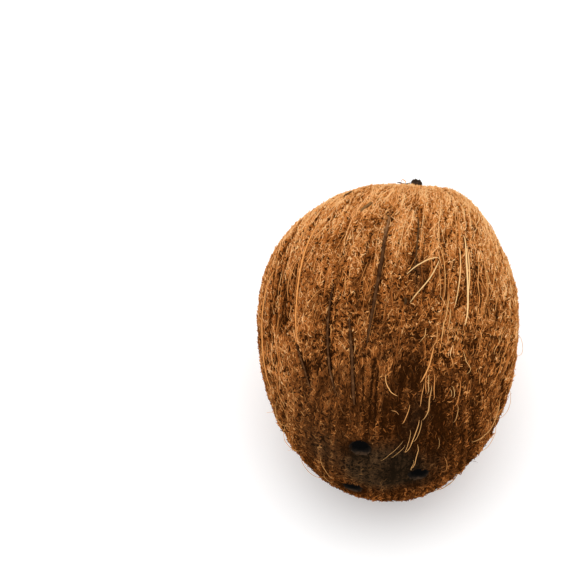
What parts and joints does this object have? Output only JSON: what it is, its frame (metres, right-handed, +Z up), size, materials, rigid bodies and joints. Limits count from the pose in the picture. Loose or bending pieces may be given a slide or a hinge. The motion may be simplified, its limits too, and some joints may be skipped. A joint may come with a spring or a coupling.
{
  "type": "coconut",
  "caption": "Whole brown coconut, stripped to its coir-covered shell: blunt end with eyes, tapered apex with a dry stub, lying on a small flat spot.",
  "frame": {"origin": "middle of the nut's bounding box in plan, on the surface that it rests on", "axes": "+Z up; +Y along the nut, from the three eyes at -Y to the tapered apex at +Y"},
  "size_m": [0.1022, 0.15, 0.099],
  "materials": {
    "coir": "matted brown coconut fibre, matte",
    "loose_fibre": "dry pale coir strands, faint sheen",
    "eye": "near-black papery membrane",
    "stub": "dark dry woody stub"
  },
  "bodies": {
    "root": {"coconut": "coir"}
  },
  "joints": []
}
